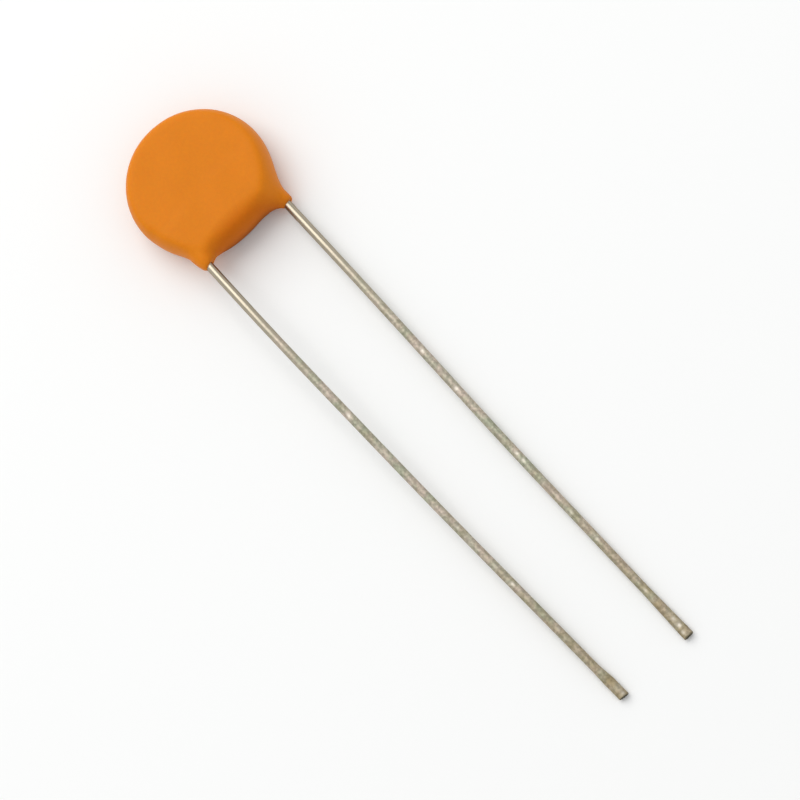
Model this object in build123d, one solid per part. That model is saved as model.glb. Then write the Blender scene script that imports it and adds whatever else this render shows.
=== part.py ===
from build123d import *
from math import atan2, cos, degrees, radians, sin, sqrt, tan
import os

# Radial-lead ceramic disc capacitor, lying on the back face of its dipped coat.
# Origin: centre of the flat back face. +X runs along the leads to their tips,
# +Z leaves the front face. All lengths are in millimetres, all angles in degrees.

# Ceramic plate and its two fired silver electrodes
ceramic_diameter = 6.8
ceramic_thickness = 0.6
electrode_margin = 0.3  # bare ring of ceramic left outside each electrode
electrode_thickness = 0.02

# Tinned wire leads
wire_diameter = 0.45
lead_pitch = 5.0  # between the two wires where they leave the coat
lead_reach = 34.6  # from the axis of the plate to the lead tips
solder_film = 0.03  # solder left between the wire and its electrode
joint_start = (-0.7, 0.75)  # wire's end on its electrode, before the side is chosen
inner_bend_depth = 1.2  # from the coat's rim in to where the wire turns over the plate
inner_bend_run = 0.6  # length of each side of that turn
outer_bend_reach = 9.0  # first slow bend in the free wire
outer_bend_run = 3.6
middle_bend_reach = 21.0  # second slow bend in the free wire
middle_bend_run = 4.0
middle_height_share = 0.43  # height left at the second bend, as a share of the whole fall
front_outer_inward = -0.1  # how far each wire has leant inward at its first slow bend
back_outer_inward = 0.05
front_middle_inward = 0.0  # at its second
back_middle_inward = 0.28
front_tip_inward = 0.26  # and at its tip
back_tip_inward = 0.33
tip_length = 3.5  # stretch that the cutter squeezed flatter
tip_spread = 0.11  # wider than the round wire at the very end
tip_thinning = 0.09  # and thinner
tip_cut_angle = 4.0  # how far the sheared end leans from square

# Solder mound over each joint
solder_width = 1.2
solder_cover = 0.06  # solder standing above the wire
solder_slope = 28.0  # lean of the mound's sides
solder_reach = 2.9  # mound's length along the wire, from the wire's end
solder_overhang = 0.4  # solder past the wire's end

# Dipped resin coat
coat_edge_skin = 0.5  # resin outside the rim of the plate
coat_face_skin = 0.45  # resin over the wires
coat_rim_share = 0.5  # rim rounding, as a share of half the thickness
leg_overhang = 0.05  # how far the coat runs on down the wires, past the disc
leg_root_depth = 2.4  # from the rim in to where the leg's form starts
leg_root_inner = 1.65  # from the wire's line to the inner edge of the root
leg_root_cover = 0.15  # how far the outer edge of the root stays inside the rim
leg_end_skin = 0.09  # resin round the wire at the end of the leg
leg_face_gap = 0.05  # how far the leg stays under the coat's face
web_thickness = 0.62  # resin drawn out between each leg and the rim
web_rim_angle = 15.0  # where the web leaves the rim, round from the X axis
web_sink = 0.15  # how far inside the rim the web starts
web_end_gap = 0.1  # from the end of the leg back to where the web meets it
web_edge_radius = 0.25

# Sizes that follow from the ones above
wire_radius = wire_diameter / 2
wire_offset = ceramic_thickness / 2 + electrode_thickness + solder_film + wire_radius
coat_half_thickness = wire_offset + wire_radius + coat_face_skin
coat_radius = ceramic_diameter / 2 + coat_edge_skin
mid_height = coat_half_thickness
half_pitch = lead_pitch / 2
inner_bend_reach = coat_radius - inner_bend_depth
electrode_top = ceramic_thickness / 2 + electrode_thickness
tip_width = wire_diameter + tip_spread
tip_height = wire_diameter - tip_thinning


def turned_over(shape):
    """The same shape on the back of the plate: half a turn about the X axis at mid height."""
    return shape.rotate(Axis((0, 0, mid_height), (1, 0, 0)), 180)


def make_ceramic_disc():
    return Pos(0, 0, mid_height) * Cylinder(ceramic_diameter / 2, ceramic_thickness)


def make_front_electrode():
    height = mid_height + ceramic_thickness / 2 + electrode_thickness / 2
    return Pos(0, 0, height) * Cylinder(ceramic_diameter / 2 - electrode_margin, electrode_thickness)


def turn_radii(points, runs):
    """Radius at each inner point of a route whose arc takes the given length of both runs."""
    radii = []
    for before, point, after, run in zip(points, points[1:], points[2:], runs):
        turn = (point - before).get_angle(after - point)
        radii.append(run / tan(radians(turn / 2)))
    return radii


def make_lead(side, height, outer_inward, middle_inward, tip_inward):
    """One wire: side is -1 or 1 across the plate, height is that of its level run in the coat."""
    tip = Vector(lead_reach, side * (half_pitch - tip_inward), tip_height / 2)
    middle_height = tip.Z + (height - tip.Z) * middle_height_share
    route = [
        Vector(joint_start[0], side * joint_start[1], height),
        Vector(inner_bend_reach, side * half_pitch, height),
        Vector(outer_bend_reach, side * (half_pitch - outer_inward), height),
        Vector(middle_bend_reach, side * (half_pitch - middle_inward), middle_height),
    ]
    along = (tip - route[-1]).normalized()
    squeeze_start = tip - along * tip_length
    route.append(squeeze_start)
    radii = turn_radii(route, [inner_bend_run, outer_bend_run, middle_bend_run])
    path = FilletPolyline(*route, radius=radii)
    round_start = Plane(origin=route[0], z_dir=route[1] - route[0]) * Circle(wire_radius)
    wire = sweep(round_start, path=path)
    level = Vector(0, 0, 1).cross(along)
    round_end = Plane(origin=squeeze_start, x_dir=level, z_dir=along) * Circle(wire_radius)
    flat_end = Plane(origin=tip, x_dir=level, z_dir=along) * Ellipse(tip_width / 2, tip_height / 2)
    wire += loft([round_end, flat_end])
    cut_depth = tip_width / 2 * tan(radians(tip_cut_angle))
    cut = Plane(origin=tip - along * cut_depth, x_dir=level, z_dir=along)
    cut = cut.rotated((0, side * tip_cut_angle, 0))
    return split(wire, bisect_by=cut, keep=Keep.BOTTOM), path.length


def make_front_solder(lead):
    """Mound over the front joint, with the wire's own space taken out of it."""
    start = Vector(joint_start[0], -joint_start[1])
    turn_in = Vector(inner_bend_reach, -half_pitch) - start
    lean = degrees(atan2(turn_in.Y, turn_in.X))
    length = solder_overhang + solder_reach
    centre = start + turn_in.normalized() * (length / 2 - solder_overhang)
    base = Pos(centre.X, centre.Y, mid_height + electrode_top) * Rot(0, 0, lean)
    mound_height = wire_offset - electrode_top + wire_radius + solder_cover
    mound = extrude(base * SlotOverall(length, solder_width), mound_height, taper=solder_slope)
    return mound - lead


def make_leg(side, height):
    """Tapered sleeve of resin round one wire, from inside the disc to the end of the coat."""
    root_reach = coat_radius - leg_root_depth
    inner_edge = half_pitch - leg_root_inner
    outer_edge = sqrt(coat_radius**2 - root_reach**2) - leg_root_cover
    root_rise = coat_half_thickness - wire_offset - leg_face_gap
    root = Plane(origin=(root_reach, side * (inner_edge + outer_edge) / 2, height), z_dir=(1, 0, 0))
    end = Plane(origin=(coat_radius + leg_overhang, side * half_pitch, height), z_dir=(1, 0, 0))
    wide = Ellipse(root_rise, (outer_edge - inner_edge) / 2)
    narrow = Circle(wire_radius + leg_end_skin)
    return loft([root * wide, end * narrow])


def make_web(side, height):
    """Thin resin filling the corner between one leg and the rim, on the side that faces the other leg."""
    turn = radians(web_rim_angle)
    rim = (coat_radius - web_sink) * Vector(cos(turn), side * sin(turn))
    leg_end = Vector(coat_radius + leg_overhang - web_end_gap, side * (half_pitch - wire_radius))
    edge = TangentArc(rim, leg_end, tangent=(-sin(turn), side * cos(turn)))
    hidden = Polyline(leg_end, (inner_bend_reach, side * half_pitch), (inner_bend_reach, rim.Y), rim)
    web = extrude(Pos(0, 0, height - web_thickness / 2) * make_face([edge, hidden]), web_thickness)
    curved = web.edges().filter_by(GeomType.CIRCLE)
    return fillet(curved, web_edge_radius)


def make_coat(inner_parts):
    """Rounded disc with a leg down each wire, less everything that it seals in."""
    disc = Pos(0, 0, mid_height) * Cylinder(coat_radius, 2 * coat_half_thickness)
    disc = fillet(disc.edges().filter_by(GeomType.CIRCLE), coat_half_thickness * coat_rim_share)
    coat = disc
    for side, height in [(-1, mid_height + wire_offset), (1, mid_height - wire_offset)]:
        coat += make_leg(side, height) + make_web(side, height)
    for part in inner_parts:
        coat -= part
    return coat


def main():
    ceramic_disc = make_ceramic_disc()
    front_electrode = make_front_electrode()
    back_electrode = turned_over(front_electrode)
    front_lead, front_length = make_lead(
        -1, mid_height + wire_offset, front_outer_inward, front_middle_inward, front_tip_inward
    )
    back_lead, back_length = make_lead(
        1, mid_height - wire_offset, back_outer_inward, back_middle_inward, back_tip_inward
    )
    front_solder = make_front_solder(front_lead)
    back_solder = turned_over(front_solder)
    sealed = [ceramic_disc, front_electrode, back_electrode, front_solder, back_solder]
    coat = make_coat(sealed + [front_lead, back_lead])
    parts = {
        "resin_coat": coat,
        "ceramic_disc": ceramic_disc,
        "front_electrode": front_electrode,
        "back_electrode": back_electrode,
        "front_solder": front_solder,
        "back_solder": back_solder,
        "front_lead": front_lead,
        "back_lead": back_lead,
    }
    os.makedirs("parts", exist_ok=True)
    for name, shape in parts.items():
        export_step(shape, f"parts/{name}.step")
        size = shape.bounding_box().size
        print(f"{name}: {shape.volume:.4f} mm3, {size.X:.2f} x {size.Y:.2f} x {size.Z:.2f} mm")
    print(f"wire to the squeezed tip: front {front_length:.2f} mm, back {back_length:.2f} mm")


main()
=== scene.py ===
import math
from typing import NamedTuple

import bmesh
import bpy
import numpy as np
from bpy.props import FloatProperty, FloatVectorProperty, IntProperty, PointerProperty
from mathutils import Euler, Matrix, Vector


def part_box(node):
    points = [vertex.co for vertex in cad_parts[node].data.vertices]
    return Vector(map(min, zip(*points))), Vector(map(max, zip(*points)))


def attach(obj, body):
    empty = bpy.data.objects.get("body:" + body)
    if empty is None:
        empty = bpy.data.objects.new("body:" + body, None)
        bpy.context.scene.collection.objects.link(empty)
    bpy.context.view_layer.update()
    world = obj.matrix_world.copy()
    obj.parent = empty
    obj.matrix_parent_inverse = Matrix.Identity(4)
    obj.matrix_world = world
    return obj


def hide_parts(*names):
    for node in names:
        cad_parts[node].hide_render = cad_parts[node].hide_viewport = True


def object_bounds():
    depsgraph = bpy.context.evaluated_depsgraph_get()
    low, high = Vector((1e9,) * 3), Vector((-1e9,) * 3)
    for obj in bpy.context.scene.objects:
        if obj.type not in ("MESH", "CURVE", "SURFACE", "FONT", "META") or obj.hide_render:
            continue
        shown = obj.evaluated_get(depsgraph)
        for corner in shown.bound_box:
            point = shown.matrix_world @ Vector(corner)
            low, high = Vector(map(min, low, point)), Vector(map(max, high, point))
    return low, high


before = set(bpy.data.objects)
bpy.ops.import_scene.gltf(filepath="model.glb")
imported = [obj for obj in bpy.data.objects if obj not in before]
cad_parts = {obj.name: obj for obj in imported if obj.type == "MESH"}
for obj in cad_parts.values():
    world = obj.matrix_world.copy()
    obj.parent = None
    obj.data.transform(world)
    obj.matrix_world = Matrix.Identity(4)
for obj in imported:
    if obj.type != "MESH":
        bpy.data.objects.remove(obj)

bl_info = {
    "name": "Ceramic Disc Capacitor",
    "version": (1, 0, 0),
    "blender": (4, 5, 0),
    "location": "3D View > Sidebar > Capacitor",
    "description": "Dips, leads and lights a radial ceramic disc capacitor around its fixed model",
    "category": "Add Mesh",
}

MM = 0.001
CAD_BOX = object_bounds()
COAT_LOW, COAT_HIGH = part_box("resin_coat")

# In millimetres. The front wire lies on side -1 of the X axis, and the back wire on side 1.
HALF_THICKNESS = (COAT_HIGH.z - COAT_LOW.z) / 2 / MM
MID_HEIGHT = (COAT_LOW.z + COAT_HIGH.z) / 2 / MM
WIRE_OFFSET = 0.575  # from mid height to the middle of each wire, inside the coat
HALF_PITCH = 2.5  # from the X axis to the middle of each wire, where it leaves the coat


def linear(hex_colour):
    """Linear red, green and blue of an sRGB colour written as six hex digits."""
    shares = [int(hex_colour[i : i + 2], 16) / 255 for i in (0, 2, 4)]
    return tuple(s / 12.92 if s <= 0.04045 else ((s + 0.055) / 1.055) ** 2.4 for s in shares)


def colour_property(name, hex_colour, description):
    return FloatVectorProperty(
        name=name, description=description, default=linear(hex_colour), subtype="COLOR", min=0.0, max=1.0
    )


def length_property(name, millimetres, description):
    return FloatProperty(
        name=name,
        description=description,
        default=millimetres * MM,
        min=0.0,
        unit="LENGTH",
        subtype="DISTANCE",
    )


def angle_property(name, degrees, description):
    return FloatProperty(name=name, description=description, default=math.radians(degrees), subtype="ANGLE")


class CoatSettings(bpy.types.PropertyGroup):
    """Sizes and colours of the dipped epoxy coat."""

    disc_radius: length_property("Disc radius", 3.865, "Half the width of the coated disc")
    face_radius: length_property("Face radius", 3.08, "Where the flat face starts to round over")
    near_slope: length_property("Near slope", 0.6, "How much sooner the face rounds over between the legs")
    near_edge: length_property("Near edge", 3.75, "Where the rim is flattened between the legs")
    waviness: length_property("Waviness", 0.014, "How far the dipped surface wanders")
    grid: length_property("Grid", 0.06, "Distance between mesh points")
    colour: colour_property("Resin", "D87B0C", "Pigmented resin where the coat is thick")
    # Painted shade: the deeper orange painted on the slope between the legs, where it faces away from the
    # lamp.
    painted_slope_shade_colour: colour_property("Thin resin", "C46400", "Resin that has drained thin between the legs")
    # Painted shade: the dark brown painted low on the slope between the legs, where shadow falls under the
    # coat's edge.
    painted_edge_shade_colour: colour_property("Edge", "8A4200", "Resin baked brown along its lowest edge")


class LeadSettings(bpy.types.PropertyGroup):
    """Sizes and colours of the two wires."""

    radius: length_property("Wire radius", 0.225, "Half the thickness of the tinned wire")
    tip_width: length_property("Tip width", 0.56, "Width of the squeezed end")
    tip_height: length_property("Tip height", 0.36, "Height of the squeezed end")
    ring_step: length_property("Ring step", 0.09, "Distance between rings of mesh points")
    sides: IntProperty(name="Sides", description="Mesh points round the wire", default=36, min=8)
    colour: colour_property("Tin", "B7AD99", "Tin plating close to the coat")
    rosy: colour_property("Rosy film", "C0B2A3", "Dull tin where copper shows through")
    olive: colour_property("Olive film", "A8A993", "Dull tin where flux residue has stained it")
    fresh: colour_property("Fresh tin", "EFE7D8", "Bright tin where the wire was nicked")
    # Darker and browner towards the cut ends.
    towards_tips_colour: colour_property("Tarnish", "9B8C6C", "Older tin near the cut ends")
    cut_face: colour_property("Cut face", "5C5645", "Bare steel at the sheared end")


class StageSettings(bpy.types.PropertyGroup):
    """Camera, floor and lamp."""

    elevation: angle_property("Elevation", 72.55, "Camera above the floor")
    swing: angle_property("Swing", 2.5, "Camera round the part, from the side that the lead tips are on")
    lead_slope: angle_property("Lead slope", 46.67, "How steeply the leads run down across the view")
    distance: length_property("Distance", 300.0, "From the camera to the part")
    view_width: length_property("View width", 40.2, "Width of the view at the part")
    floor_colour: colour_property("Floor", "F4F4F2", "Pale studio floor")
    world_colour: colour_property("Surroundings", "F2F3F5", "Pale studio all round")


# ---------------------------------------------------------------- materials


def add_node(tree, kind, inputs=None, output=None, **settings):
    """Adds one shader node with its settings and inputs (links or plain values), and gives back an output."""
    node = tree.nodes.new(kind)
    for key, value in settings.items():
        setattr(node, key, value)
    for key, value in (inputs or {}).items():
        if isinstance(key, int):
            socket = node.inputs[key]
        else:
            socket = next(s for s in node.inputs if s.enabled and s.name == key)
        if isinstance(value, bpy.types.NodeSocket):
            tree.links.new(value, socket)
        else:
            socket.default_value = value
    return node.outputs[output] if output else next(s for s in node.outputs if s.enabled)


def new_material(name):
    """An empty node material, with its tree."""
    material = bpy.data.materials.new(name)
    material.use_nodes = True
    material.node_tree.nodes.clear()
    return material, material.node_tree


def opaque(colour):
    return (*colour, 1.0)


def millimetre_points(tree, stretch=(1.0, 1.0, 1.0)):
    """Object coordinates in millimetres, optionally stretched along an axis."""
    place = add_node(tree, "ShaderNodeTexCoord", output="Object")
    return add_node(tree, "ShaderNodeMapping", {"Vector": place, "Scale": tuple(s / MM for s in stretch)})


def noise(tree, points, size_mm, detail=2.0, roughness=0.5):
    """Random patches of about the given size, from 0 to 1."""
    inputs = {"Vector": points, "Scale": 1 / size_mm, "Detail": detail, "Roughness": roughness}
    return add_node(tree, "ShaderNodeTexNoise", inputs)


def ranged(tree, value, low, high, from_low=0.3, from_high=0.7):
    """A value stretched from one range to another, and held within it."""
    inputs = {"Value": value, "From Min": from_low, "From Max": from_high, "To Min": low, "To Max": high}
    return add_node(tree, "ShaderNodeMapRange", inputs, clamp=True)


def stored_share(tree, name):
    """The share from 0 to 1 that the mesh holds at each point under this name."""
    return add_node(tree, "ShaderNodeAttribute", output="Fac", attribute_name=name)


def blended(tree, share, first, second):
    """Two colours mixed by a share from 0 to 1."""
    return add_node(tree, "ShaderNodeMix", {"Factor": share, "A": first, "B": second}, data_type="RGBA")


def scaled(tree, colour, brightness):
    """A colour made lighter or darker."""
    return add_node(tree, "ShaderNodeVectorMath", {0: colour, "Scale": brightness}, operation="SCALE")


def combined(tree, operation, first, second, use_clamp=False):
    """Two values joined by one sum."""
    return add_node(tree, "ShaderNodeMath", {0: first, 1: second}, operation=operation, use_clamp=use_clamp)


def bumped(tree, height, rise_mm, strength=1.0):
    """A normal tilted by a height from 0 to 1 that stands for so many millimetres."""
    inputs = {"Height": height, "Strength": strength, "Distance": rise_mm * MM}
    return add_node(tree, "ShaderNodeBump", inputs)


def shade(tree, inputs):
    """Ends the tree in one surface with these inputs."""
    surface = add_node(tree, "ShaderNodeBsdfPrincipled", inputs)
    end = tree.nodes.new("ShaderNodeOutputMaterial")
    tree.links.new(surface, end.inputs["Surface"])


def dipped_epoxy(settings):
    """Pigmented epoxy, dipped and oven cured: an even satin orange with a faint orange peel, with painted
    shade: a deeper orange on the slope between the legs and a little under the rim, and dark brown low on
    that slope."""
    material, tree = new_material("dipped_epoxy_orange")
    points = millimetre_points(tree)
    grain = noise(tree, points, size_mm=0.15, detail=4.0, roughness=0.6)
    # Painted shade: the stored share darkens the resin on the slope between the legs and a little under the
    # rim.
    painted_shade = stored_share(tree, "painted_shade")
    slope_shade = ranged(tree, painted_shade, 0.0, 1.0, from_low=0.0, from_high=0.6)
    # Painted shade: dark brown where the share is highest, low on the slope between the legs.
    edge_shade = ranged(tree, painted_shade, 0.0, 1.0, from_low=0.6, from_high=1.0)
    body = blended(tree, slope_shade, opaque(settings.colour), opaque(settings.painted_slope_shade_colour))
    body = blended(tree, edge_shade, body, opaque(settings.painted_edge_shade_colour))
    clouds = ranged(tree, noise(tree, points, size_mm=1.8, detail=3.0), 0.98, 1.02)
    speckle = ranged(tree, grain, 0.97, 1.03)
    satin = ranged(tree, grain, 0.45, 0.57, from_low=0.2, from_high=0.8)
    matter = ranged(tree, painted_shade, 0.0, 0.3, from_low=0.0, from_high=1.0)
    peel = noise(tree, points, size_mm=0.3, detail=3.0)
    shade(
        tree,
        {
            "Base Color": scaled(tree, body, combined(tree, "MULTIPLY", clouds, speckle)),
            "Roughness": combined(tree, "ADD", satin, matter),
            "Normal": bumped(tree, peel, rise_mm=0.008),
            "IOR": 1.5,
            "Specular IOR Level": 0.14,
            "Subsurface Weight": 0.12,
            "Subsurface Radius": (1.0, 0.35, 0.1),
            "Subsurface Scale": 0.25 * MM,
        },
    )
    return material


def tinned_wire(settings):
    """Copper-clad steel, drawn and hot tinned: bright by the coat, then a dull skin in rosy and olive
    patches with fine speckle, browner towards the dark cut ends. The drawing lines are coarser than real
    ones, so that they show."""
    material, tree = new_material("tinned_steel_wire")
    points = millimetre_points(tree)
    drawing_lines = noise(tree, millimetre_points(tree, (0.25, 9.0, 9.0)), 1.0, detail=3.0, roughness=0.55)
    reach = add_node(tree, "ShaderNodeSeparateXYZ", {"Vector": points}, output="X")
    dull = ranged(tree, reach, 0.0, 1.0, from_low=6.0, from_high=13.0)
    patches = noise(tree, points, size_mm=0.9, detail=4.0, roughness=0.6)
    stained = ranged(tree, patches, 0.0, 1.0, from_low=0.38, from_high=0.62)
    film = blended(tree, stained, opaque(settings.rosy), opaque(settings.olive))
    # The wire turns darker and browner towards the cut ends.
    towards_tips = ranged(tree, reach, 0.0, 0.7, from_low=20.0, from_high=CAD_BOX[1].x / MM)
    uneven = ranged(tree, noise(tree, points, size_mm=0.6, detail=3.0), -0.3, 0.3)
    tip_share = combined(tree, "ADD", towards_tips, uneven, use_clamp=True)
    film = blended(tree, tip_share, film, opaque(settings.towards_tips_colour))
    speckle = ranged(tree, noise(tree, points, size_mm=0.16), 0.82, 1.16, from_low=0.4, from_high=0.6)
    plated = blended(tree, dull, opaque(settings.colour), scaled(tree, film, speckle))
    bare = blended(tree, stored_share(tree, "scraped"), plated, opaque(settings.fresh))
    bright_gloss = ranged(tree, drawing_lines, 0.24, 0.32)
    dullness = ranged(tree, dull, 0.0, 0.27, from_low=0.0, from_high=1.0)
    shade(
        tree,
        {
            "Base Color": blended(tree, stored_share(tree, "cut"), bare, opaque(settings.cut_face)),
            "Roughness": combined(tree, "ADD", bright_gloss, dullness),
            "Normal": bumped(tree, drawing_lines, rise_mm=0.01, strength=0.35),
            "Metallic": ranged(tree, dull, 1.0, 0.6, from_low=0.0, from_high=1.0),
            "Specular Tint": opaque(linear("6C614E")),
        },
    )
    return material


def grainy_material(name, hex_light, hex_dark, grain_mm, roughness, metallic=0.0):
    """A fine two-tone grain, for the pieces that are sealed in the coat."""
    material, tree = new_material(name)
    grain = noise(tree, millimetre_points(tree), grain_mm, detail=3.0)
    shade(
        tree,
        {
            "Base Color": blended(tree, grain, opaque(linear(hex_light)), opaque(linear(hex_dark))),
            "Normal": bumped(tree, grain, rise_mm=0.002, strength=0.4),
            "Roughness": roughness,
            "Metallic": metallic,
        },
    )
    return material


def studio_floor(settings):
    """Matt painted board: even and pale, with a hardly visible tooth."""
    material, tree = new_material("matt_painted_board")
    tooth = noise(tree, millimetre_points(tree), size_mm=2.0)
    shade(
        tree,
        {
            "Base Color": opaque(settings.floor_colour),
            "Normal": bumped(tree, tooth, rise_mm=0.02, strength=0.05),
            "Roughness": 0.9,
        },
    )
    return material


# ---------------------------------------------------------------- meshes


def new_piece(name, bm):
    """A new object in the scene, from mesh data that is then let go."""
    mesh = bpy.data.meshes.new(name)
    bm.to_mesh(mesh)
    bm.free()
    piece = bpy.data.objects.new(name, mesh)
    bpy.context.scene.collection.objects.link(piece)
    return piece


def apply_modifiers(piece):
    """Replaces the mesh by the result of the modifiers, and leaves none."""
    graph = bpy.context.evaluated_depsgraph_get()
    mesh = bpy.data.meshes.new_from_object(piece.evaluated_get(graph))
    piece.modifiers.clear()
    old = piece.data
    piece.data = mesh
    bpy.data.meshes.remove(old)


def point_array(mesh):
    """The mesh's points as rows of x, y and z."""
    points = np.empty(len(mesh.vertices) * 3)
    mesh.vertices.foreach_get("co", points)
    return points.reshape(-1, 3)


def store_share(mesh, name, values):
    """Keeps one number from 0 to 1 per point, for the material to read."""
    mesh.attributes.new(name, "FLOAT", "POINT").data.foreach_set("value", values.astype(np.float32))


# ---------------------------------------------------------------- dipped coat


class Leg(NamedTuple):
    """How the resin tapers down one wire. Lengths are in millimetres."""

    end: float  # reach of the coat along the wire
    skin: float  # radius at that end
    root: float  # half width inside the disc
    taper: float  # 1 widens as a straight cone, less widens sooner
    rise: float  # the same for its height
    blend: float  # rounding into the rim
    fill: float  # more rounding on the side that faces the other leg
    slant: float  # how much further the end runs on, for each millimetre outwards
    out: float  # how far the end sits outside the wire
    lean: float  # how far the root sits towards the middle


LEGS = {
    -1: Leg(
        end=3.87, skin=0.31, root=0.9, taper=0.54, rise=0.54,
        blend=0.65, fill=0.3, slant=0.4, out=0.0, lean=0.32,
    ),
    1: Leg(
        end=3.91, skin=0.335, root=0.71, taper=0.74, rise=0.5,
        blend=1.07, fill=0.3, slant=-0.2, out=0.05, lean=0.45,
    ),
}


def soft_least(a, b, blend):
    """The smaller of two distances, rounded where they meet."""
    h = np.clip(0.5 + 0.5 * (b - a) / blend, 0.0, 1.0)
    return b + (a - b) * h - blend * h * (1.0 - h)


def soft_most(a, b, blend):
    """The larger of two distances, rounded where they meet."""
    return -soft_least(-a, -b, blend)


class DippedForm:
    """The coat's surface as a distance: negative inside the resin, zero on its skin. In millimetres,
    with z measured from mid height."""

    FAR_SHORTENING = 1.037  # how much closer in the rim is on the side away from the leads
    NEAR_ANGLE = 0.7  # radians each side of the leads over which the face slopes sooner
    RIM_SQUARENESS = 2.6  # 2 rounds the rim as an ellipse, more keeps it fuller
    NEAR_EDGE_BLEND = 0.48  # rounding of the flattened rim between the legs
    LEG_ROOT_REACH = 1.4
    LEG_ROOT_HEIGHT = 1.1  # half the leg's height at its root
    LEG_ROOT_BLEND = 0.3
    LEG_SAG = 0.82  # share of the wire's offset that the leg gives back towards its root
    LEG_END_BLEND = 0.08
    INNER_RAMP = 0.5  # distance inwards from the wire over which the inner side's fill comes in
    FACE_INSET = 0.02  # how far the flat faces stay inside the coat's box
    FACE_BLEND = 0.16
    DENT_PLACE = (0.77, -3.55)  # beside the front leg, on the rim
    DENT_RADIUS = 0.35
    DENT_DEPTH = 0.06

    def __init__(self, settings):
        self.disc_radius = settings.disc_radius / MM
        self.face_radius = settings.face_radius / MM
        self.near_slope = settings.near_slope / MM
        self.near_edge = settings.near_edge / MM
        self.waviness = settings.waviness / MM

    def disc(self, x, y, z):
        """Rounded disc, a little short on its far side, whose face slopes away sooner between the legs."""
        reach = np.hypot(np.where(x < 0.0, x * self.FAR_SHORTENING, x), y)
        facing_leads = np.exp(-((np.arctan2(y, x) / self.NEAR_ANGLE) ** 2))
        face = self.face_radius - self.near_slope * facing_leads
        past_face = np.maximum(reach - face, 0.0) / (self.disc_radius - face)
        body = np.sqrt(past_face**self.RIM_SQUARENESS + (z / HALF_THICKNESS) ** 2) - 1.0
        return soft_most(body * HALF_THICKNESS, x - self.near_edge, self.NEAR_EDGE_BLEND)

    def sleeve(self, x, y, z, side):
        """Sleeve of resin that tapers down one wire."""
        leg = LEGS[side]
        share = np.clip((leg.end - x) / (leg.end - self.LEG_ROOT_REACH), 0.0, 1.3)
        middle = side * (HALF_PITCH + leg.out * (1.0 - share) - leg.lean * share)
        height = -side * WIRE_OFFSET * (1.0 - self.LEG_SAG * share)
        half_width = leg.skin + (leg.root - leg.skin) * share**leg.taper
        half_height = leg.skin + (self.LEG_ROOT_HEIGHT - leg.skin) * share**leg.rise
        across = y - middle
        body = np.hypot(across, (z - height) * half_width / half_height) - half_width
        end = x - leg.end - leg.slant * across * side
        body = soft_most(body, end, self.LEG_END_BLEND)
        return soft_most(body, self.LEG_ROOT_REACH - x, self.LEG_ROOT_BLEND)

    def wander(self, x, y, z):
        """Slow waves left by the dip, strongest on the front face and fading out towards the back."""
        waves = np.sin(1.1 * x + 0.7) * np.cos(0.9 * y - 0.4) + 0.5 * np.sin(2.3 * y + 1.7 * x + z)
        return self.waviness * waves * np.clip(z / HALF_THICKNESS + 0.6, 0.0, 1.0)

    def dent(self, x, y):
        """A shallow dent in the rim."""
        from_dent = (x - self.DENT_PLACE[0]) ** 2 + (y - self.DENT_PLACE[1]) ** 2
        return self.DENT_DEPTH * np.exp(-from_dent / self.DENT_RADIUS**2)

    def __call__(self, points):
        x, y, z = points.T
        body = self.disc(x, y, z)
        for side, leg in LEGS.items():
            inner_side = np.clip((HALF_PITCH - y * side) / self.INNER_RAMP, 0.0, 1.0)
            body = soft_least(body, self.sleeve(x, y, z, side), leg.blend + leg.fill * inner_side)
        body = soft_most(body, np.abs(z) - HALF_THICKNESS + self.FACE_INSET, self.FACE_BLEND)
        return body + self.wander(x, y, z) + self.dent(x, y)


def snap_to_form(points, form, rounds=8):
    """Moves points along the form's slope until they lie on its skin."""
    step = 1e-3
    least_slope = 0.05  # keeps each move short where the form is nearly level
    for _ in range(rounds):
        value = form(points)
        slope = np.stack(
            [(form(points + step * axis) - form(points - step * axis)) / (2 * step) for axis in np.eye(3)],
            axis=1,
        )
        points = points - slope * (value / np.maximum((slope**2).sum(axis=1), least_slope))[:, None]
    return points


def painted_shade_share(points, form):
    """Share of painted shade, from 0 to 1: on the slope between the legs, which faces away from the lamp,
    and most of all low down on it, and a little under the rim."""
    x, y, z = points.T
    ridge = 2.5 + 0.1 * y**2  # where the face turns down between the legs
    between_legs = np.exp(-((y / 2.3) ** 6))
    slope = np.clip((x - ridge) / 0.8, 0.0, 1.0) * between_legs
    low = np.clip(0.4 - z / HALF_THICKNESS, 0.0, 1.0)
    past_face = np.clip((np.hypot(x, y) - form.face_radius) / 0.6, 0.0, 1.0)
    under = np.clip(-z / HALF_THICKNESS, 0.0, 1.0) * past_face
    return np.clip(slope * (0.55 + 0.45 * low) + 0.3 * under, 0.0, 1.0)


def rough_coat(form):
    """A plain disc and a cone along each wire, for the remesh to join. In millimetres."""
    bm = bmesh.new()
    radius = form.disc_radius
    depth = 2 * HALF_THICKNESS
    bmesh.ops.create_cone(bm, cap_ends=True, segments=96, radius1=radius, radius2=radius, depth=depth)
    along_wire = Euler((0, math.pi / 2, 0)).to_matrix().to_4x4()
    for side, leg in LEGS.items():
        middle_reach = (form.LEG_ROOT_REACH + leg.end) / 2
        place = Matrix.Translation((middle_reach, side * HALF_PITCH, -side * WIRE_OFFSET))
        bmesh.ops.create_cone(
            bm,
            cap_ends=True,
            segments=48,
            radius1=leg.root * 0.8,
            radius2=leg.skin,
            depth=leg.end - form.LEG_ROOT_REACH,
            matrix=place @ along_wire,
        )
    return bm


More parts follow.
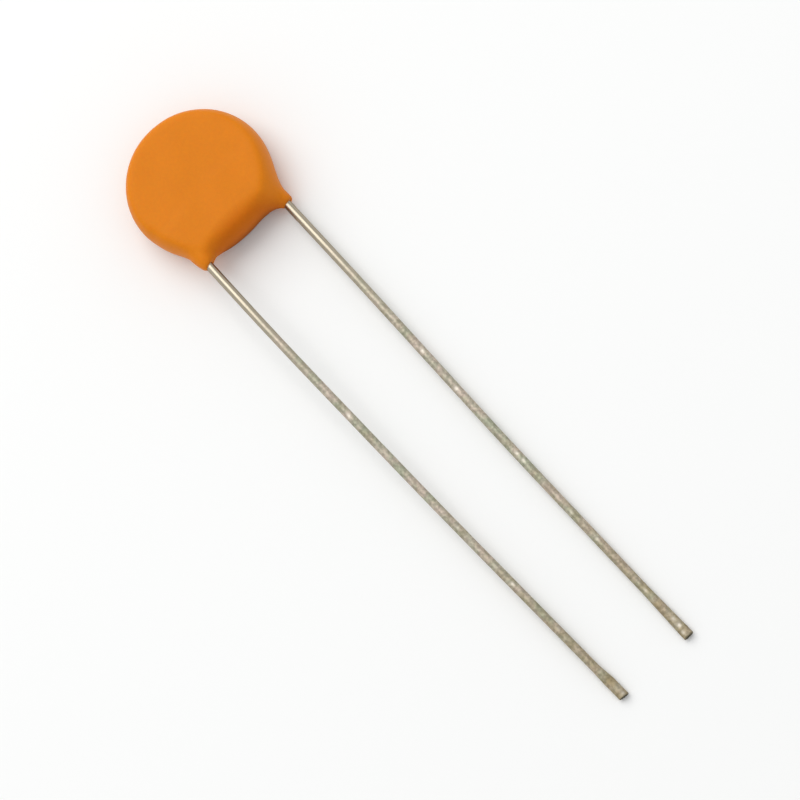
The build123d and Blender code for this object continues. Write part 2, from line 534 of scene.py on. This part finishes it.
def make_coat(settings):
    """One closed skin: rough solids are remeshed evenly and then drawn on to the dipped form."""
    form = DippedForm(settings)
    coat = new_piece("dipped_coat", rough_coat(form))
    remesh = coat.modifiers.new("even_grid", "REMESH")
    remesh.mode = "VOXEL"
    remesh.voxel_size = settings.grid / MM
    remesh.use_smooth_shade = True
    apply_modifiers(coat)
    points = snap_to_form(point_array(coat.data), form)
    smooth = coat.modifiers.new("relax", "SMOOTH")
    smooth.iterations = 4
    coat.data.vertices.foreach_set("co", points.ravel())
    apply_modifiers(coat)
    points = snap_to_form(point_array(coat.data), form)
    # The share of painted shade, kept for the material.
    store_share(coat.data, "painted_shade", painted_shade_share(points, form))
    points[:, 2] += HALF_THICKNESS
    coat.data.vertices.foreach_set("co", (points * MM).ravel())
    coat.data.update()
    return coat


# ---------------------------------------------------------------- leads


class Nick(NamedTuple):
    """A spot where handling has nicked the plating."""

    reach: float  # millimetres along the X axis
    turn: float  # degrees round the wire from its side, up over the top
    depth: float  # millimetres


class Cut(NamedTuple):
    """How the cutter left one end of the wire. Lengths are in millimetres."""

    start: float  # from the tip back to where the squeeze starts
    ramp: float  # distance over which it reaches its full depth
    shift: float  # how far the squeezed end is pushed across
    lean: float  # degrees that the sheared face leans from square


NICKS = {
    -1: [
        Nick(14.6, 95, 0.03),
        Nick(22.6, 85, 0.012),
        Nick(26.6, 90, 0.025),
        Nick(29.85, 70, 0.01),
        Nick(34.42, 70, 0.012),
    ],
    1: [
        Nick(14.55, 90, 0.03),
        Nick(17.2, 95, 0.03),
        Nick(21.8, 83, 0.025),
        Nick(22.3, 83, 0.025),
        Nick(25.95, 95, 0.012),
        Nick(27.85, 90, 0.015),
        Nick(31.45, 90, 0.015),
        Nick(33.45, 80, 0.018),
        Nick(33.9, 85, 0.03),
        Nick(34.3, 110, 0.018),
    ],
}
NICK_LENGTH = 0.11  # millimetres along the wire
NICK_WIDTH = 0.38  # radians round it
FRESH_DEPTH = 0.03  # a nick this deep shows bare bright tin

CUTS = {
    -1: Cut(start=2.0, ramp=0.9, shift=0.02, lean=8.0),
    1: Cut(start=3.2, ramp=2.8, shift=0.0, lean=1.0),
}
TIP_SHRINK = 0.9  # size of the cut face, as a share of the ring behind it
TIP_BULGE = 0.02  # millimetres that it stands beyond that ring

# Distance of each wire from the X axis at its first slow bend, at its second and at its tip
ACROSS = {-1: (2.6, 2.5, 2.2), 1: (2.45, 2.22, 2.2)}


def lead_route(side):
    """Corner points of one wire, and the length of each rounded corner's run, in millimetres."""
    start_height = MID_HEIGHT - side * WIRE_OFFSET
    tip_height = 0.18
    middle_height = tip_height + (start_height - tip_height) * 0.43
    outer, middle, tip = ACROSS[side]
    points = [
        (-0.7, side * 0.75, start_height),
        (2.7, side * HALF_PITCH, start_height),
        (9.0, side * outer, start_height),
        (21.0, side * middle, middle_height),
        (34.6, side * tip, tip_height),
    ]
    return [Vector(p) for p in points], [0.6, 3.6, 4.0]


def rounded_route(points, runs, step, corner_steps=16):
    """Evenly spaced points along the route, with each corner drawn as one smooth curve."""
    line = [points[0]]
    for before, corner, after, run in zip(points, points[1:], points[2:], runs):
        start = corner + (before - corner).normalized() * run
        end = corner + (after - corner).normalized() * run
        for i in range(corner_steps + 1):
            t = i / corner_steps
            line.append(start * (1 - t) ** 2 + corner * 2 * t * (1 - t) + end * t**2)
    line.append(points[-1])
    line = np.array(line)
    reach = np.concatenate([[0.0], np.cumsum(np.linalg.norm(np.diff(line, axis=0), axis=1))])
    places = np.linspace(0.0, reach[-1], int(round(reach[-1] / step)) + 1)
    return np.stack([np.interp(places, reach, line[:, axis]) for axis in range(3)], axis=1)


def wire_axes(line):
    """Directions along the wire, level across it and up from it, at each of its points."""
    along = np.gradient(line, axis=0)
    along /= np.linalg.norm(along, axis=1)[:, None]
    level = np.cross((0.0, 0.0, 1.0), along)
    level /= np.linalg.norm(level, axis=1)[:, None]
    return along, level, np.cross(along, level)


def uneven_skin(rings, sides, seed):
    """Soft random highs and lows of the plating, drawn out along the wire."""
    rough = np.random.default_rng(seed).normal(size=(rings, sides))
    for axis, width in ((0, 5), (1, 3)):
        rough = sum(np.roll(rough, move, axis=axis) for move in range(-width, width + 1)) / (2 * width + 1)
    return rough


def nicked_skin(line, turn, side):
    """Depth of the nicks at each mesh point of one wire, and how far each shows fresh tin, from 0 to 1."""
    depth = np.zeros((len(line), len(turn)))
    scraped = np.zeros_like(depth)
    for nick in NICKS[side]:
        round_gap = np.abs((turn - math.radians(nick.turn) + math.pi) % (2 * math.pi) - math.pi)
        along_gap = line[:, 0, None] - nick.reach
        spot = np.exp(-((along_gap / NICK_LENGTH) ** 2) - (round_gap / NICK_WIDTH) ** 2)
        depth += spot * nick.depth
        scraped = np.maximum(scraped, spot * nick.depth / FRESH_DEPTH)
    return depth, scraped


def tube(rows):
    """Closed tube through rings of points: smooth quads along it and one flat face on each end."""
    bm = bmesh.new()
    rings = [[bm.verts.new(Vector(point) * MM) for point in row] for row in rows]
    for ring, following in zip(rings, rings[1:]):
        for i in range(len(ring)):
            j = (i + 1) % len(ring)
            bm.faces.new((ring[i], ring[j], following[j], following[i]))
    bm.faces.new(list(reversed(rings[0])))
    bm.faces.new(rings[-1])
    bmesh.ops.recalc_face_normals(bm, faces=bm.faces)
    for face in bm.faces:
        face.smooth = len(face.verts) == 4
    return bm


def make_lead(settings, side, name):
    """Round wire with a squeezed, sheared end, drawn ring by ring along its route."""
    line = rounded_route(*lead_route(side), settings.ring_step / MM)
    rings, sides = len(line), settings.sides
    along, level, up = wire_axes(line)
    cut = CUTS[side]
    from_tip = np.linalg.norm(line - line[-1], axis=1)
    squeeze = np.clip((cut.start - from_tip) / cut.ramp, 0.0, 1.0)
    radius = settings.radius / MM
    half_width = radius + (settings.tip_width / MM / 2 - radius) * squeeze
    half_height = radius + (settings.tip_height / MM / 2 - radius) * squeeze
    turn = np.linspace(0.0, 2 * math.pi, sides, endpoint=False)
    unevenness = 0.02 * uneven_skin(rings, sides, 11 + side) * (1.0 + 3.0 * squeeze[:, None])
    depth, scraped = nicked_skin(line, turn, side)
    lift = 1.0 + unevenness - depth / radius
    across = half_width[:, None] * np.cos(turn) * lift + cut.shift * squeeze[:, None]
    rise = half_height[:, None] * np.sin(turn) * lift
    points = line[:, None] + across[..., None] * level[:, None] + rise[..., None] * up[:, None]
    shear = math.tan(math.radians(cut.lean)) * side
    points[-1] -= (across[-1] * shear + abs(shear) * half_width[-1])[:, None] * along[-1]
    middle = points[-1].mean(axis=0)
    cut_face = middle + (points[-1] - middle) * TIP_SHRINK + along[-1] * TIP_BULGE
    lead = new_piece(name, tube([*points, cut_face]))
    store_share(lead.data, "scraped", np.concatenate([scraped.ravel(), np.zeros(sides)]))
    plated = np.zeros((rings - 1) * sides)
    store_share(lead.data, "cut", np.concatenate([plated, np.full(sides, 0.5), np.ones(sides)]))
    return lead


# ---------------------------------------------------------------- operators


def dress(piece, material, node):
    """Gives a new piece its material, its body and its slot, and lets it stand for a fixed node."""
    piece.data.materials.clear()
    piece.data.materials.append(material)
    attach(piece, "root")
    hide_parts(node)


class CAPACITOR_OT_dip_coat(bpy.types.Operator):
    """Make the dipped resin coat with its legs"""

    bl_idname = "capacitor.dip_coat"
    bl_label = "Dip Coat"

    def execute(self, context):
        settings = context.scene.capacitor_coat
        dress(make_coat(settings), dipped_epoxy(settings), "resin_coat")
        return {"FINISHED"}


class CAPACITOR_OT_draw_leads(bpy.types.Operator):
    """Make the two tinned wire leads"""

    bl_idname = "capacitor.draw_leads"
    bl_label = "Draw Leads"

    def execute(self, context):
        settings = context.scene.capacitor_leads
        material = tinned_wire(settings)
        for side, name, node in ((-1, "front_wire", "front_lead"), (1, "back_wire", "back_lead")):
            dress(make_lead(settings, side, name), material, node)
        return {"FINISHED"}


class CAPACITOR_OT_finish_core(bpy.types.Operator):
    """Give the plate, electrodes and solder inside the coat their materials"""

    bl_idname = "capacitor.finish_core"
    bl_label = "Finish Core"

    def execute(self, context):
        # Pressed and fired: chalky, with fine pores
        ceramic = grainy_material("fired_titanate_ceramic", "C9B79A", "A8927A", 0.15, 0.7)
        # Screen printed and fired: matt and white
        silver = grainy_material("fired_silver_paste", "D8D6D0", "B5B2AA", 0.08, 0.45, metallic=1.0)
        # Reflowed: bright, with broad cloudy grains
        solder = grainy_material("reflowed_tin_solder", "C8C8C8", "A9A9A8", 0.4, 0.28, metallic=1.0)
        for node, material in (
            ("ceramic_disc", ceramic),
            ("front_electrode", silver),
            ("back_electrode", silver),
            ("front_solder", solder),
            ("back_solder", solder),
        ):
            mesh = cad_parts[node].data
            mesh.materials.clear()
            mesh.materials.append(material)
        return {"FINISHED"}


def lay_floor(settings):
    """A wide round board, at the height that the part lies on."""
    bm = bmesh.new()
    bmesh.ops.create_circle(bm, cap_ends=True, segments=96, radius=1.2)
    floor = new_piece("studio_floor", bm)
    floor.data.materials.append(studio_floor(settings))


def light_surroundings(settings, strength):
    """Even light from all round."""
    world = bpy.data.worlds.new("soft_studio")
    world.use_nodes = True
    background = world.node_tree.nodes["Background"]
    background.inputs["Color"].default_value = opaque(settings.world_colour)
    background.inputs["Strength"].default_value = strength
    bpy.context.scene.world = world


def add_soft_box(name, size, power, place, aim):
    """A square soft box at a place, looking at a point, in metres and watts."""
    data = bpy.data.lights.new(name, "AREA")
    data.shape = "SQUARE"
    data.size = size
    data.energy = power
    lamp = bpy.data.objects.new(name, data)
    lamp.location = place
    lamp.rotation_euler = (aim - place).to_track_quat("-Z", "Y").to_euler()
    lamp.visible_camera = False
    bpy.context.scene.collection.objects.link(lamp)


def add_camera(settings, target):
    """A camera that looks at the target, turned so that the leads run down across the view."""
    back = Vector(
        (
            math.cos(settings.elevation) * math.cos(settings.swing),
            math.cos(settings.elevation) * math.sin(settings.swing),
            math.sin(settings.elevation),
        )
    )
    downhill = (Vector((1, 0, 0)) - back * back.x).normalized()
    sideways = back.cross(downhill)
    right = downhill * math.cos(settings.lead_slope) + sideways * math.sin(settings.lead_slope)
    data = bpy.data.cameras.new("camera")
    data.lens = data.sensor_width * settings.distance / settings.view_width
    data.clip_start = settings.distance / 10
    data.clip_end = 10.0
    camera = bpy.data.objects.new("camera", data)
    turn = Matrix((right, back.cross(right), back)).transposed().to_4x4()
    camera.matrix_world = Matrix.Translation(target + back * settings.distance) @ turn
    bpy.context.scene.collection.objects.link(camera)
    bpy.context.scene.camera = camera


class CAPACITOR_OT_set_stage(bpy.types.Operator):
    """Lay the floor, hang the lamp and set the camera"""

    bl_idname = "capacitor.set_stage"
    bl_label = "Set Stage"

    def execute(self, context):
        settings = context.scene.capacitor_stage
        middle = (CAD_BOX[0] + CAD_BOX[1]) / 2
        lay_floor(settings)
        light_surroundings(settings, strength=0.8)
        context.scene.view_settings.view_transform = "Standard"
        beside_coat = middle + Vector((-0.252, -0.02, 0.33))
        add_soft_box("key_soft_box", size=0.42, power=1.05, place=beside_coat, aim=middle)
        add_camera(settings, target=middle + Vector((0.23, -0.175, -0.65)) * MM)
        return {"FINISHED"}


class VIEW3D_PT_capacitor(bpy.types.Panel):
    """Buttons and sizes for the capacitor"""

    bl_label = "Ceramic Disc Capacitor"
    bl_space_type = "VIEW_3D"
    bl_region_type = "UI"
    bl_category = "Capacitor"

    def draw(self, context):
        for operator, group in STEPS:
            box = self.layout.box()
            box.operator(operator.bl_idname)
            if group:
                settings = getattr(context.scene, group)
                for key in settings.__annotations__:
                    box.prop(settings, key)


STEPS = (
    (CAPACITOR_OT_dip_coat, "capacitor_coat"),
    (CAPACITOR_OT_draw_leads, "capacitor_leads"),
    (CAPACITOR_OT_finish_core, None),
    (CAPACITOR_OT_set_stage, "capacitor_stage"),
)
GROUPS = {
    "capacitor_coat": CoatSettings,
    "capacitor_leads": LeadSettings,
    "capacitor_stage": StageSettings,
}
CLASSES = (*GROUPS.values(), *(operator for operator, _ in STEPS), VIEW3D_PT_capacitor)


def register():
    for cls in CLASSES:
        bpy.utils.register_class(cls)
    for name, group in GROUPS.items():
        setattr(bpy.types.Scene, name, PointerProperty(type=group))


def unregister():
    for name in GROUPS:
        delattr(bpy.types.Scene, name)
    for cls in reversed(CLASSES):
        bpy.utils.unregister_class(cls)


def main():
    register()
    bpy.ops.capacitor.dip_coat()
    bpy.ops.capacitor.draw_leads()
    bpy.ops.capacitor.finish_core()
    bpy.ops.capacitor.set_stage()


if __name__ == "__main__":
    main()
